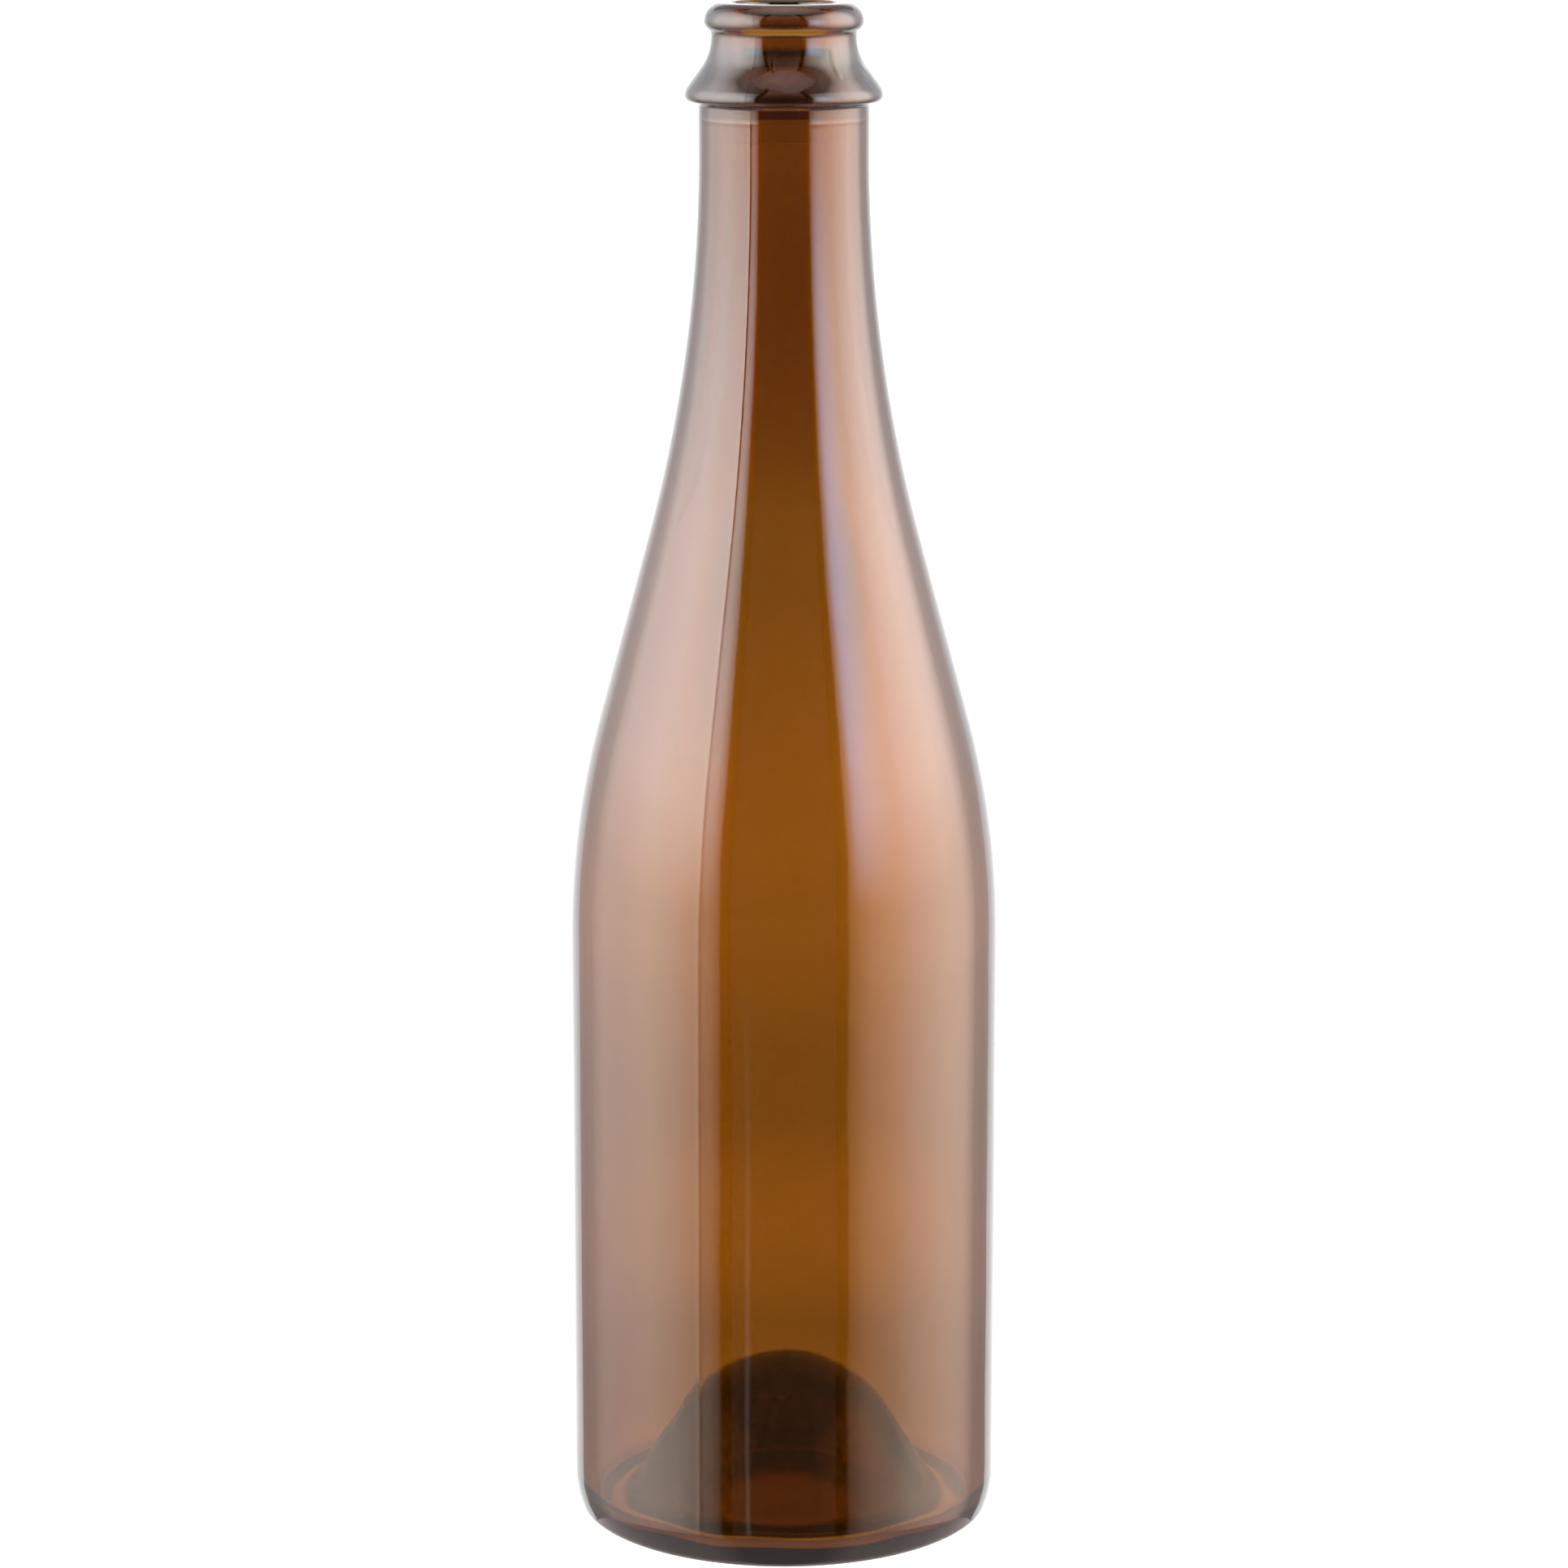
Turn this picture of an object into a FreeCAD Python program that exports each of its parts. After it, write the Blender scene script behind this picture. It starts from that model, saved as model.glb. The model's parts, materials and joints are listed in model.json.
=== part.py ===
"""A champagne-style beer bottle in amber glass, with a crown finish and a deep push-up.

The bottle is blown from one gob of glass, so it is one solid: a closed outline of the
glass, in the plane of radius and height, turned about the bottle's axis.

Frame: millimetres, +Z up along the axis, origin at the centre of the base, on the surface
that the bottle stands on.
"""

import math
import os

import FreeCAD
import Part

# Driving dimensions, in millimetres and degrees.

# Overall
HEIGHT = 260.5
BODY_RADIUS = 36.5
NECK_RADIUS = 14.25

# Glass thickness
BODY_WALL = 3.1
NECK_WALL = 3.8
PUSH_UP_WALL = 6.0

# Shoulder: an outward arc off the body, a cone, and an inward arc into the neck
SHOULDER_START = 102.0
SHOULDER_ARC = 145.0
NECK_ARC = 250.0
INNER_NECK_ARC = 200.0
CONE_ANGLE = 15.2

# Heel: a wide arc off the body, then a tight one onto the bearing land
HEEL_WIDE_ARC = 17.0
HEEL_WIDE_TURN = 18.0
HEEL_TIGHT_ARC = 2.0
BEARING_LAND_WIDTH = 2.0
INNER_HEEL_ARC = 4.1

# Push-up: a round dome on a cone, parallel inside and out
PUSH_UP_HEIGHT = 26.8
DOME_RADIUS = 22.0
PUSH_UP_SLOPE = 59.0
UNDERSIDE_SLOPE = 10.0
UNDERSIDE_FILLET = 6.0

# Crown finish: the locking ring at the lip, the waist under it, and the skirted collar
BORE_RADIUS = 8.3
BORE_LENGTH = 12.0
MOUTH_ROUNDING = 0.9
LOCKING_RING_RADIUS = 13.3
LOCKING_RING_ROUNDING = 3.1
LOCKING_RING_UNDERCUT = 1.6
WAIST_RADIUS = 12.12
WAIST_FILLET = 1.2
SKIRT_START_DEPTH = 5.5
SKIRT_ARC = 9.0
SKIRT_ANGLE = 33.0
COLLAR_RADIUS = 16.53
COLLAR_DEPTH = 15.3
COLLAR_TOP_ROUNDING = 2.6
COLLAR_LOWER_ROUNDING = 1.0
COLLAR_UNDERSIDE_SLOPE = 15.0
COLLAR_FILLET = 0.5
THROAT_LENGTH = 7.0


def at(radius, height):
    """A point of the outline, in the half-plane of +X and Z."""
    return FreeCAD.Vector(radius, 0.0, height)


def on_circle(centre, radius, degrees):
    """The point of a circle at an angle from straight out, positive upwards."""
    turn = math.radians(degrees)
    return at(centre[0] + radius * math.cos(turn), centre[1] + radius * math.sin(turn))


def arc(centre, radius, start, end):
    """An arc of a circle in the outline's plane, from one angle to another."""
    middle = (start + end) / 2.0
    stations = [on_circle(centre, radius, degrees) for degrees in (start, middle, end)]
    return Part.Arc(*stations).toShape()


def joined(pieces):
    """The pieces in order, with a straight edge wherever one does not start at the last one's end."""
    edges = []
    for piece in pieces:
        if edges:
            gap_start = edges[-1].lastVertex(True).Point
            gap_end = piece.firstVertex(True).Point
            if gap_start.distanceToPoint(gap_end) > 1e-6:
                edges.append(Part.makeLine(gap_start, gap_end))
        edges.append(piece)
    return edges


def shoulder_centres(body_radius, neck_radius, body_arc, neck_arc):
    """Centres of the arc that leaves the body and of the arc that meets the neck."""
    turn = math.radians(CONE_ANGLE)
    arcs_narrow = (body_arc + neck_arc) * (1.0 - math.cos(turn))
    cone_length = (body_radius - neck_radius - arcs_narrow) / math.sin(turn)
    rise = (body_arc + neck_arc) * math.sin(turn) + cone_length * math.cos(turn)
    body_centre = (body_radius - body_arc, SHOULDER_START)
    neck_centre = (neck_radius + neck_arc, SHOULDER_START + rise)
    return body_centre, neck_centre


def finish_outside():
    """The lip's edge, the locking ring, the waist, the skirt and the collar, from the top down."""
    ring = (LOCKING_RING_RADIUS - LOCKING_RING_ROUNDING, HEIGHT - LOCKING_RING_ROUNDING)
    undercut = (LOCKING_RING_RADIUS - LOCKING_RING_UNDERCUT, ring[1])
    across = WAIST_RADIUS + WAIST_FILLET - undercut[0]
    reach = LOCKING_RING_UNDERCUT + WAIST_FILLET
    undercut_end = -math.degrees(math.acos(across / reach))
    waist = (WAIST_RADIUS + WAIST_FILLET, undercut[1] - math.sqrt(reach**2 - across**2))
    skirt = (WAIST_RADIUS + SKIRT_ARC, HEIGHT - SKIRT_START_DEPTH)
    collar_height = HEIGHT - COLLAR_DEPTH
    collar_top = (COLLAR_RADIUS - COLLAR_TOP_ROUNDING, collar_height)
    collar_low = (COLLAR_RADIUS - COLLAR_LOWER_ROUNDING, collar_height)
    # The underside falls towards the neck, so that the halves of the mould can part.
    slope = math.radians(COLLAR_UNDERSIDE_SLOPE)
    underside = on_circle(collar_low, COLLAR_LOWER_ROUNDING, COLLAR_UNDERSIDE_SLOPE - 90.0)
    fillet_radius = NECK_RADIUS + COLLAR_FILLET
    fall = (underside.x - fillet_radius) * math.tan(slope)
    fillet = (fillet_radius, underside.z - fall - COLLAR_FILLET / math.cos(slope))
    return [
        arc(ring, LOCKING_RING_ROUNDING, 90.0, 0.0),
        arc(undercut, LOCKING_RING_UNDERCUT, 0.0, undercut_end),
        arc(waist, WAIST_FILLET, 180.0 + undercut_end, 180.0),
        arc(skirt, SKIRT_ARC, 180.0, 180.0 + SKIRT_ANGLE),
        arc(collar_top, COLLAR_TOP_ROUNDING, SKIRT_ANGLE, 0.0),
        arc(collar_low, COLLAR_LOWER_ROUNDING, 0.0, COLLAR_UNDERSIDE_SLOPE - 90.0),
        arc(fillet, COLLAR_FILLET, 90.0 + COLLAR_UNDERSIDE_SLOPE, 180.0),
    ]


def shoulder_outside():
    """The neck's inward arc and the body's outward arc, from the top down."""
    body, neck = shoulder_centres(BODY_RADIUS, NECK_RADIUS, SHOULDER_ARC, NECK_ARC)
    return [
        arc(neck, NECK_ARC, 180.0, 180.0 + CONE_ANGLE),
        arc(body, SHOULDER_ARC, CONE_ANGLE, 0.0),
    ]


def base_outside():
    """The heel, the flat bearing land and the underside of the push-up, ending on the axis."""
    turn = math.radians(HEEL_WIDE_TURN)
    arcs_differ = HEEL_WIDE_ARC - HEEL_TIGHT_ARC
    wide = (BODY_RADIUS - HEEL_WIDE_ARC, HEEL_TIGHT_ARC + arcs_differ * math.sin(turn))
    tight = (wide[0] + arcs_differ * math.cos(turn), HEEL_TIGHT_ARC)
    land_inner_radius = tight[0] - BEARING_LAND_WIDTH

    dome_centre = (0.0, PUSH_UP_HEIGHT - DOME_RADIUS)
    under_radius = DOME_RADIUS - PUSH_UP_WALL
    flank_top = on_circle(dome_centre, under_radius, 90.0 - PUSH_UP_SLOPE)
    flank = math.radians(PUSH_UP_SLOPE)
    gentle = math.radians(UNDERSIDE_SLOPE)
    # The fillet's centre lies its own radius inside both the gentle ring and the flank.
    steep_offset = UNDERSIDE_FILLET / math.cos(flank)
    gentle_offset = UNDERSIDE_FILLET / math.cos(gentle)
    steep_at_axis = flank_top.z + flank_top.x * math.tan(flank) + steep_offset
    gentle_at_axis = land_inner_radius * math.tan(gentle) + gentle_offset
    fillet_radius = (steep_at_axis - gentle_at_axis) / (math.tan(flank) - math.tan(gentle))
    fillet = (fillet_radius, gentle_at_axis - fillet_radius * math.tan(gentle))
    return [
        arc(wide, HEEL_WIDE_ARC, 0.0, -HEEL_WIDE_TURN),
        arc(tight, HEEL_TIGHT_ARC, -HEEL_WIDE_TURN, -90.0),
        Part.makeLine(at(tight[0], 0.0), at(land_inner_radius, 0.0)),
        arc(fillet, UNDERSIDE_FILLET, -90.0 - UNDERSIDE_SLOPE, -90.0 - PUSH_UP_SLOPE),
        arc(dome_centre, under_radius, 90.0 - PUSH_UP_SLOPE, 90.0),
    ]


def base_inside():
    """The push-up seen from inside, and the trough round its foot, starting on the axis."""
    dome_centre = (0.0, PUSH_UP_HEIGHT - DOME_RADIUS)
    flank = math.radians(PUSH_UP_SLOPE)
    trough_radius = BODY_RADIUS - BODY_WALL - INNER_HEEL_ARC
    # The trough's centre is the arc's radius away from the flank and from the wall.
    along = (DOME_RADIUS + INNER_HEEL_ARC) / math.cos(flank)
    trough = (trough_radius, dome_centre[1] + along - trough_radius * math.tan(flank))
    return [
        arc(dome_centre, DOME_RADIUS, 90.0, 90.0 - PUSH_UP_SLOPE),
        arc(trough, INNER_HEEL_ARC, -90.0 - PUSH_UP_SLOPE, 0.0),
    ]


def neck_inside():
    """The inner wall of the shoulder, the throat and the bore, from the bottom up."""
    inner_body = BODY_RADIUS - BODY_WALL
    inner_neck = NECK_RADIUS - NECK_WALL
    inner_shoulder_arc = SHOULDER_ARC - BODY_WALL
    body, neck = shoulder_centres(inner_body, inner_neck, inner_shoulder_arc, INNER_NECK_ARC)

    # The throat is two equal arcs that carry the neck's inner wall over to the bore.
    narrowing = inner_neck - BORE_RADIUS
    turn = 2.0 * math.atan(narrowing / THROAT_LENGTH)
    throat_arc = THROAT_LENGTH / (2.0 * math.sin(turn))
    bore_bottom = HEIGHT - MOUTH_ROUNDING - BORE_LENGTH
    lower = (inner_neck - throat_arc, bore_bottom - THROAT_LENGTH)
    upper = (BORE_RADIUS + throat_arc, bore_bottom)
    degrees = math.degrees(turn)
    mouth = (BORE_RADIUS + MOUTH_ROUNDING, HEIGHT - MOUTH_ROUNDING)
    return [
        arc(body, inner_shoulder_arc, 0.0, CONE_ANGLE),
        arc(neck, INNER_NECK_ARC, 180.0 + CONE_ANGLE, 180.0),
        arc(lower, throat_arc, 0.0, degrees),
        arc(upper, throat_arc, 180.0 + degrees, 180.0),
        arc(mouth, MOUTH_ROUNDING, 180.0, 90.0),
    ]


def bottle():
    """The whole bottle: the outline of its glass, turned once round its axis."""
    outside = finish_outside() + shoulder_outside() + base_outside()
    inside = base_inside() + neck_inside()
    edges = joined(outside + inside)
    top_land = Part.makeLine(edges[-1].lastVertex(True).Point, edges[0].firstVertex(True).Point)
    outline = Part.Wire(edges + [top_land])
    axis_start = FreeCAD.Vector(0.0, 0.0, 0.0)
    axis_direction = FreeCAD.Vector(0.0, 0.0, 1.0)
    return Part.Face(outline).revolve(axis_start, axis_direction, 360.0)


def main():
    os.makedirs("parts", exist_ok=True)
    glass = bottle()
    glass.exportStep("parts/bottle.step")
    cavity_outline = joined(base_inside() + neck_inside())
    rim_point = cavity_outline[-1].lastVertex(True).Point
    closing = [
        Part.makeLine(rim_point, at(0.0, HEIGHT)),
        Part.makeLine(at(0.0, HEIGHT), at(0.0, PUSH_UP_HEIGHT)),
    ]
    cavity = Part.Face(Part.Wire(cavity_outline + closing)).revolve(
        FreeCAD.Vector(0.0, 0.0, 0.0), FreeCAD.Vector(0.0, 0.0, 1.0), 360.0
    )
    print("glass valid:", glass.isValid(), "solids:", len(glass.Solids))
    print("glass volume: %.1f ml" % (glass.Volume / 1000.0))
    print("brimful capacity: %.0f ml" % (cavity.Volume / 1000.0))


main()
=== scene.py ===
"""The look of a champagne-style beer bottle in amber glass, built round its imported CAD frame.

Everything is in metres, +Z up, with the origin at the centre of the base. The glass is one closed
mesh: an outline of rings, turned about the axis, with the marks that the mould and the blowing leave.
"""

import json
import math
import random

import bmesh
import bpy
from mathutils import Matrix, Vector, noise

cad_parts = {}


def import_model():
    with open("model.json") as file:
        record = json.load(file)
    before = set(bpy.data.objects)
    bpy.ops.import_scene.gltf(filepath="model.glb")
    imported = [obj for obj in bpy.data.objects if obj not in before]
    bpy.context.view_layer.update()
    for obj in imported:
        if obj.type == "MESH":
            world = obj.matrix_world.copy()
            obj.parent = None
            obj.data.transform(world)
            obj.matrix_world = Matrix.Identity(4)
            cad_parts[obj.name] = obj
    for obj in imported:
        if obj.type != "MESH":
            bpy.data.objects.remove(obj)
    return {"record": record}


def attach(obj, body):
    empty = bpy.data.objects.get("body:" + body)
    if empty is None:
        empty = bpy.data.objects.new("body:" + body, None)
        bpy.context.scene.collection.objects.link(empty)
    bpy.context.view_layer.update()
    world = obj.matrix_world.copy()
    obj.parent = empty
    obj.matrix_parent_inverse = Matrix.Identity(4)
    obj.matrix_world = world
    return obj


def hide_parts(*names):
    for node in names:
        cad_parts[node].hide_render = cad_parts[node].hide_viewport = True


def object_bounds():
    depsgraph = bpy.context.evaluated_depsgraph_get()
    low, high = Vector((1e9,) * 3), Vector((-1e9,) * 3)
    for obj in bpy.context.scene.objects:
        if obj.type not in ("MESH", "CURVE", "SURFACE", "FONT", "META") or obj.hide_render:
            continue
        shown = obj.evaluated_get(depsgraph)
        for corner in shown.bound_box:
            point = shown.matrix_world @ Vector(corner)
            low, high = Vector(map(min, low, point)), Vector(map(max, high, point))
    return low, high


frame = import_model()
CAD_LOW, CAD_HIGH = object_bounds()

MM = 0.001


def mount(name):
    """The record's mount of that name."""
    return next(m for m in frame["record"]["mounts"] if m["name"] == name)


# Sizes that the frame gives
HEIGHT = CAD_HIGH.z
BODY_RADIUS = mount("body_cylinder")["dims"]["r_mm"] * MM
BORE_RADIUS = mount("mouth_bore")["dims"]["r_mm"] * MM
BORE_LENGTH = mount("mouth_bore")["dims"]["length_mm"] * MM

# Glass thickness
BODY_WALL = 3.1 * MM
NECK_WALL = 3.8 * MM
PUSH_UP_WALL = 6.0 * MM

# Neck and shoulder
NECK_RADIUS = 14.25 * MM
SHOULDER_START = 102.0 * MM
SHOULDER_ARC = 145.0 * MM
NECK_ARC = 250.0 * MM
INNER_NECK_ARC = 200.0 * MM
CONE_ANGLE = 15.2

# Heel and push-up
HEEL_WIDE_ARC = 17.0 * MM
HEEL_WIDE_TURN = 18.0
HEEL_TIGHT_ARC = 2.0 * MM
BEARING_LAND_WIDTH = 2.0 * MM
INNER_HEEL_ARC = 4.1 * MM
PUSH_UP_HEIGHT = 26.8 * MM
DOME_RADIUS = 22.0 * MM
PUSH_UP_SLOPE = 59.0
UNDERSIDE_SLOPE = 10.0
UNDERSIDE_FILLET = 6.0 * MM

# Crown finish
MOUTH_ROUNDING = 0.9 * MM
LOCKING_RING_RADIUS = 13.3 * MM
LOCKING_RING_ROUNDING = 3.1 * MM
LOCKING_RING_UNDERCUT = 1.6 * MM
WAIST_RADIUS = 12.12 * MM
WAIST_FILLET = 1.2 * MM
SKIRT_START_DEPTH = 5.5 * MM
SKIRT_ARC = 9.0 * MM
SKIRT_ANGLE = 33.0
COLLAR_RADIUS = 16.53 * MM
COLLAR_DEPTH = 15.3 * MM
COLLAR_TOP_ROUNDING = 2.6 * MM
COLLAR_LOWER_ROUNDING = 1.0 * MM
COLLAR_UNDERSIDE_SLOPE = 15.0
COLLAR_FILLET = 0.5 * MM
THROAT_LENGTH = 7.0 * MM

# How finely the outline is cut
LONGEST_RUN = 3.2 * MM
LARGEST_TURN = 9.0
SMALLEST_GAP = 1e-7
COLUMNS = 200
SEAM_COLUMNS = (0.35, 0.75, 1.2)
NECK_JOINT_RINGS = (0.7 * MM, 0.35 * MM, 0.18 * MM, 0.0, -0.18 * MM, -0.35 * MM, -0.7 * MM)

# Marks of the mould and of the blowing
SEAM_AZIMUTH = -113.0
SEAM_HEIGHT = 0.04 * MM
FINISH_SEAM_HEIGHT = 0.012 * MM
SEAM_WIDTH = 0.6
NECK_JOINT_DEPTH = 19.2 * MM
NECK_JOINT_HEIGHT = 0.05 * MM
NECK_JOINT_WIDTH = 0.25 * MM
HEEL_JOINT_HEIGHT = 0.05 * MM
HEEL_JOINT_WIDTH = 0.5 * MM
INNER_WAVE = 0.12 * MM
OUTER_WAVE = 0.02 * MM
KNURL_DEPTH = 0.12 * MM

# The push-up's surface is a little out of true, with two lumps: each has a radius, a width and a lift
PUSH_UP_WAVE = 0.5 * MM
PUSH_UP_WAVE_LENGTH = 12.0 * MM
PUSH_UP_LUMPS = ((16.5 * MM, 1.6 * MM, 1.3 * MM), (22.5 * MM, 1.6 * MM, 1.3 * MM))
LUMPS_AZIMUTH = 190.0
LUMPS_SPREAD = 30.0

# Seeds: each plain one has a height, an azimuth and a size
PLAIN_SEEDS = ((75.0 * MM, -50.3, 0.22 * MM), (17.5 * MM, -125.3, 0.3 * MM))
SEED_COUNT = 16
SEED_STRETCH = 1.6
RANDOM_SEED = 7


# ---------------------------------------------------------------- the outline of the glass


def arc(centre, radius, start, end):
    """Points of an arc of a circle, from one angle to another, in (radius, height)."""
    turn = math.radians(end - start)
    steps = max(2, math.ceil(abs(end - start) / LARGEST_TURN), math.ceil(abs(turn) * radius / LONGEST_RUN))
    points = []
    for step in range(steps + 1):
        angle = math.radians(start) + turn * step / steps
        points.append((centre[0] + radius * math.cos(angle), centre[1] + radius * math.sin(angle)))
    return points


def joined(pieces):
    """The pieces one after another, with straight runs between them cut to the longest run."""
    outline = list(pieces[0])
    for piece in pieces[1:]:
        (r0, z0), (r1, z1) = outline[-1], piece[0]
        gap = math.hypot(r1 - r0, z1 - z0)
        if gap > SMALLEST_GAP:
            steps = max(1, math.ceil(gap / LONGEST_RUN))
            for step in range(1, steps):
                share = step / steps
                outline.append((r0 + (r1 - r0) * share, z0 + (z1 - z0) * share))
            outline.append(piece[0])
        outline.extend(piece[1:])
    return outline


def shoulder_centres(body_radius, neck_radius, body_arc, neck_arc):
    """Centres of the arc that leaves the body and of the arc that meets the neck."""
    turn = math.radians(CONE_ANGLE)
    arcs_narrow = (body_arc + neck_arc) * (1.0 - math.cos(turn))
    cone_length = (body_radius - neck_radius - arcs_narrow) / math.sin(turn)
    rise = (body_arc + neck_arc) * math.sin(turn) + cone_length * math.cos(turn)
    return (body_radius - body_arc, SHOULDER_START), (neck_radius + neck_arc, SHOULDER_START + rise)


def on_circle(centre, radius, degrees):
    """The point of a circle at an angle from straight out, positive upwards."""
    turn = math.radians(degrees)
    return centre[0] + radius * math.cos(turn), centre[1] + radius * math.sin(turn)


def finish_outside():
    """The lip's edge, the locking ring, the waist, the skirt and the collar, from the top down."""
    ring = (LOCKING_RING_RADIUS - LOCKING_RING_ROUNDING, HEIGHT - LOCKING_RING_ROUNDING)
    undercut = (LOCKING_RING_RADIUS - LOCKING_RING_UNDERCUT, ring[1])
    across = WAIST_RADIUS + WAIST_FILLET - undercut[0]
    reach = LOCKING_RING_UNDERCUT + WAIST_FILLET
    undercut_end = -math.degrees(math.acos(across / reach))
    waist = (WAIST_RADIUS + WAIST_FILLET, undercut[1] - math.sqrt(reach**2 - across**2))
    skirt = (WAIST_RADIUS + SKIRT_ARC, HEIGHT - SKIRT_START_DEPTH)
    collar_top = (COLLAR_RADIUS - COLLAR_TOP_ROUNDING, HEIGHT - COLLAR_DEPTH)
    collar_low = (COLLAR_RADIUS - COLLAR_LOWER_ROUNDING, HEIGHT - COLLAR_DEPTH)
    slope = math.radians(COLLAR_UNDERSIDE_SLOPE)
    underside = on_circle(collar_low, COLLAR_LOWER_ROUNDING, COLLAR_UNDERSIDE_SLOPE - 90.0)
    fillet_radius = NECK_RADIUS + COLLAR_FILLET
    fall = (underside[0] - fillet_radius) * math.tan(slope)
    fillet = (fillet_radius, underside[1] - fall - COLLAR_FILLET / math.cos(slope))
    return [
        arc(ring, LOCKING_RING_ROUNDING, 90.0, 0.0),
        arc(undercut, LOCKING_RING_UNDERCUT, 0.0, undercut_end),
        arc(waist, WAIST_FILLET, 180.0 + undercut_end, 180.0),
        arc(skirt, SKIRT_ARC, 180.0, 180.0 + SKIRT_ANGLE),
        arc(collar_top, COLLAR_TOP_ROUNDING, SKIRT_ANGLE, 0.0),
        arc(collar_low, COLLAR_LOWER_ROUNDING, 0.0, COLLAR_UNDERSIDE_SLOPE - 90.0),
        arc(fillet, COLLAR_FILLET, 90.0 + COLLAR_UNDERSIDE_SLOPE, 180.0),
    ]


def neck_joint():
    """Rings close together where the mould of the neck meets the mould of the body."""
    middle = HEIGHT - NECK_JOINT_DEPTH
    return [(NECK_RADIUS, middle + offset) for offset in NECK_JOINT_RINGS]


def shoulder_outside():
    """The neck's inward arc and the body's outward arc, from the top down."""
    body, neck = shoulder_centres(BODY_RADIUS, NECK_RADIUS, SHOULDER_ARC, NECK_ARC)
    return [
        arc(neck, NECK_ARC, 180.0, 180.0 + CONE_ANGLE),
        arc(body, SHOULDER_ARC, CONE_ANGLE, 0.0),
    ]


def heel_centres():
    """Centres of the wide and the tight arc of the heel."""
    turn = math.radians(HEEL_WIDE_TURN)
    arcs_differ = HEEL_WIDE_ARC - HEEL_TIGHT_ARC
    wide = (BODY_RADIUS - HEEL_WIDE_ARC, HEEL_TIGHT_ARC + arcs_differ * math.sin(turn))
    return wide, (wide[0] + arcs_differ * math.cos(turn), HEEL_TIGHT_ARC)


def base_outside():
    """The heel, the flat bearing land and the underside of the push-up, ending on the axis."""
    wide, tight = heel_centres()
    land_outer = tight[0]
    land_inner = land_outer - BEARING_LAND_WIDTH
    land = [(land_outer - BEARING_LAND_WIDTH * step / 4.0, 0.0) for step in range(5)]

    dome_centre = (0.0, PUSH_UP_HEIGHT - DOME_RADIUS)
    under_radius = DOME_RADIUS - PUSH_UP_WALL
    flank_top = on_circle(dome_centre, under_radius, 90.0 - PUSH_UP_SLOPE)
    flank = math.radians(PUSH_UP_SLOPE)
    gentle = math.radians(UNDERSIDE_SLOPE)
    steep_at_axis = flank_top[1] + flank_top[0] * math.tan(flank) + UNDERSIDE_FILLET / math.cos(flank)
    gentle_at_axis = land_inner * math.tan(gentle) + UNDERSIDE_FILLET / math.cos(gentle)
    fillet_radius = (steep_at_axis - gentle_at_axis) / (math.tan(flank) - math.tan(gentle))
    fillet = (fillet_radius, gentle_at_axis - fillet_radius * math.tan(gentle))
    return [
        arc(wide, HEEL_WIDE_ARC, 0.0, -HEEL_WIDE_TURN),
        arc(tight, HEEL_TIGHT_ARC, -HEEL_WIDE_TURN, -90.0),
        land,
        arc(fillet, UNDERSIDE_FILLET, -90.0 - UNDERSIDE_SLOPE, -90.0 - PUSH_UP_SLOPE),
        arc(dome_centre, under_radius, 90.0 - PUSH_UP_SLOPE, 90.0),
    ]


def base_inside():
    """The push-up seen from inside, and the trough round its foot, starting on the axis."""
    dome_centre = (0.0, PUSH_UP_HEIGHT - DOME_RADIUS)
    flank = math.radians(PUSH_UP_SLOPE)
    trough_radius = BODY_RADIUS - BODY_WALL - INNER_HEEL_ARC
    along = (DOME_RADIUS + INNER_HEEL_ARC) / math.cos(flank)
    trough = (trough_radius, dome_centre[1] + along - trough_radius * math.tan(flank))
    return [
        arc(dome_centre, DOME_RADIUS, 90.0, 90.0 - PUSH_UP_SLOPE),
        arc(trough, INNER_HEEL_ARC, -90.0 - PUSH_UP_SLOPE, 0.0),
    ]


def neck_inside():
    """The inner wall of the shoulder, the throat and the bore, from the bottom up."""
    inner_neck = NECK_RADIUS - NECK_WALL
    inner_shoulder_arc = SHOULDER_ARC - BODY_WALL
    body, neck = shoulder_centres(BODY_RADIUS - BODY_WALL, inner_neck, inner_shoulder_arc, INNER_NECK_ARC)
    narrowing = inner_neck - BORE_RADIUS
    turn = 2.0 * math.atan(narrowing / THROAT_LENGTH)
    throat_arc = THROAT_LENGTH / (2.0 * math.sin(turn))
    bore_bottom = HEIGHT - MOUTH_ROUNDING - BORE_LENGTH
    lower = (inner_neck - throat_arc, bore_bottom - THROAT_LENGTH)
    upper = (BORE_RADIUS + throat_arc, bore_bottom)
    mouth = (BORE_RADIUS + MOUTH_ROUNDING, HEIGHT - MOUTH_ROUNDING)
    return [
        arc(body, inner_shoulder_arc, 0.0, CONE_ANGLE),
        arc(neck, INNER_NECK_ARC, 180.0 + CONE_ANGLE, 180.0),
        arc(lower, throat_arc, 0.0, math.degrees(turn)),
        arc(upper, throat_arc, 180.0 + math.degrees(turn), 180.0),
        arc(mouth, MOUTH_ROUNDING, 180.0, 90.0),
    ]


# ---------------------------------------------------------------- marks on the glass


def bump_at(distance, width):
    """A rounded ridge, 1 at its middle."""
    return math.exp(-((distance / width) ** 2))


def seam_ridge(azimuth):
    """How high the mould's two parting lines stand at an azimuth, from 0 to 1."""
    nearest = min(abs((azimuth - SEAM_AZIMUTH + 180.0) % 360.0 - 180.0),
                  abs((azimuth - SEAM_AZIMUTH) % 360.0 - 180.0))
    return bump_at(nearest, SEAM_WIDTH)


def wave_at(height, azimuth, around, length, shift=0.0):
    """A smooth random value from -1 to 1 on the wall: around sets how quickly it changes round the
    bottle, and length how slowly it changes upwards."""
    angle = math.radians(azimuth)
    return noise.noise(Vector((math.cos(angle) * around, math.sin(angle) * around, height / length + shift)))


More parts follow.
